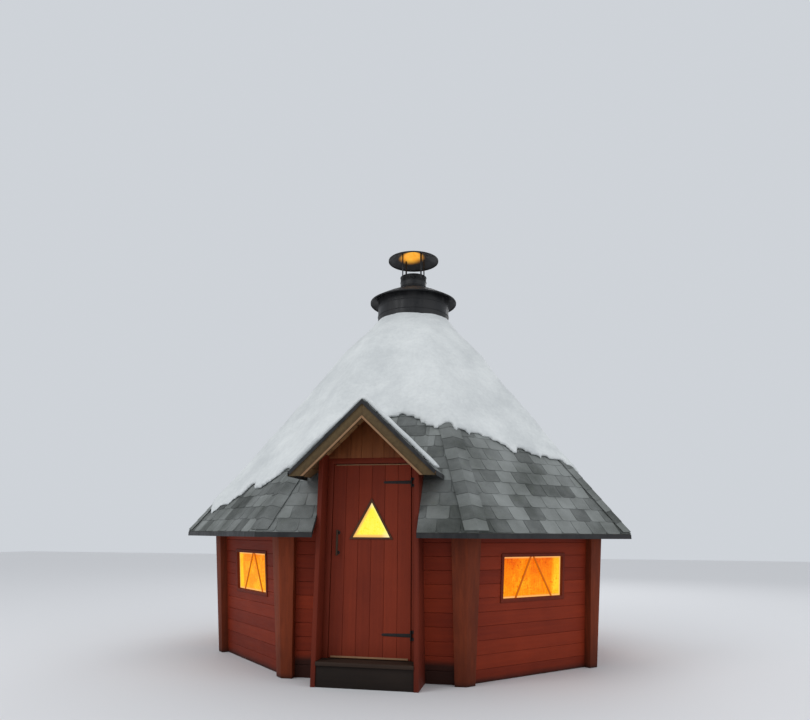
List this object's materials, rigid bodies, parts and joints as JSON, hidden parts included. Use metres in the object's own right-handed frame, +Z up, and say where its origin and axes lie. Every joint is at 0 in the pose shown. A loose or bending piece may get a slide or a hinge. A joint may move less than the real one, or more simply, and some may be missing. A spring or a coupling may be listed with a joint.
{
  "type": "grill hut",
  "caption": "Octagonal timber grill hut with outward-leaning walls, snow-covered shingle roof, gabled door box and black flue with rain cap.",
  "frame": {"origin": "on the ground under the roof's point, at the centre of the octagonal plan", "axes": "+Z up, -Y out through the door, +X to the right seen from the front"},
  "size_m": [4.664, 4.812, 4.803],
  "materials": {
    "dark_timber": "rough, dark stained",
    "floor_wood": "worn planed boards",
    "red_paint": "matt red-brown paint on boards",
    "trim_paint": "matt dark red-brown paint",
    "lit_pane": "frosted, glowing amber from the fire inside",
    "shingle": "mineral felt shingles",
    "bare_timber": "oiled planed timber",
    "brown_timber": "brown stained timber",
    "black_iron": "matt black",
    "handle_wood": "dark hand-worn wood",
    "black_sheet": "satin black sheet metal",
    "snow": "settled snow"
  },
  "bodies": {
    "hut": {"base_frame": "dark_timber", "floor_joists": "dark_timber", "floor_boards": "floor_wood", "door_step": "brown_timber", "step_riser": "dark_timber", "wall_front_left": "red_paint", "wall_front_right": "red_paint", "wall_right_front": "red_paint", "wall_right": "red_paint", "wall_right_back": "red_paint", "wall_back": "red_paint", "wall_left_back": "red_paint", "wall_left": "red_paint", "wall_left_front": "red_paint", "corner_boards": "trim_paint", "window_frames": "trim_paint", "window_panes": "lit_pane", "roof_front_left": "shingle", "roof_front_right": "shingle", "roof_front_top": "shingle", "roof_right_front": "shingle", "roof_right": "shingle", "roof_right_back": "shingle", "roof_back": "shingle", "roof_left_back": "shingle", "roof_left": "shingle", "roof_left_front": "shingle", "hip_rafters": "bare_timber", "crown_ring": "bare_timber", "box_side_left": "trim_paint", "box_side_right": "trim_paint", "gable_board": "bare_timber", "gable_roof_left": "shingle", "gable_roof_right": "shingle", "barge_left": "brown_timber", "barge_right": "brown_timber", "door_frame": "trim_paint", "hinge_plates": "black_iron", "flue_drum": "black_sheet", "flue_cone": "black_sheet", "flue_pipe": "black_sheet", "cap_straps": "black_sheet", "rain_cap": "black_sheet", "roof_snow": "snow", "gable_snow": "snow"},
    "door": {"door_leaf": "red_paint", "door_pane": "lit_pane", "door_pane_trim": "bare_timber", "door_handle": "handle_wood", "hinge_straps": "black_iron"}
  },
  "joints": [
    {"name": "door_hinge", "type": "hinge", "parent": "hut", "child": "door", "pos_m": [0.3595, -2.056, 1], "axis": [0, 0, 1], "range_deg": [0, 90]}
  ]
}
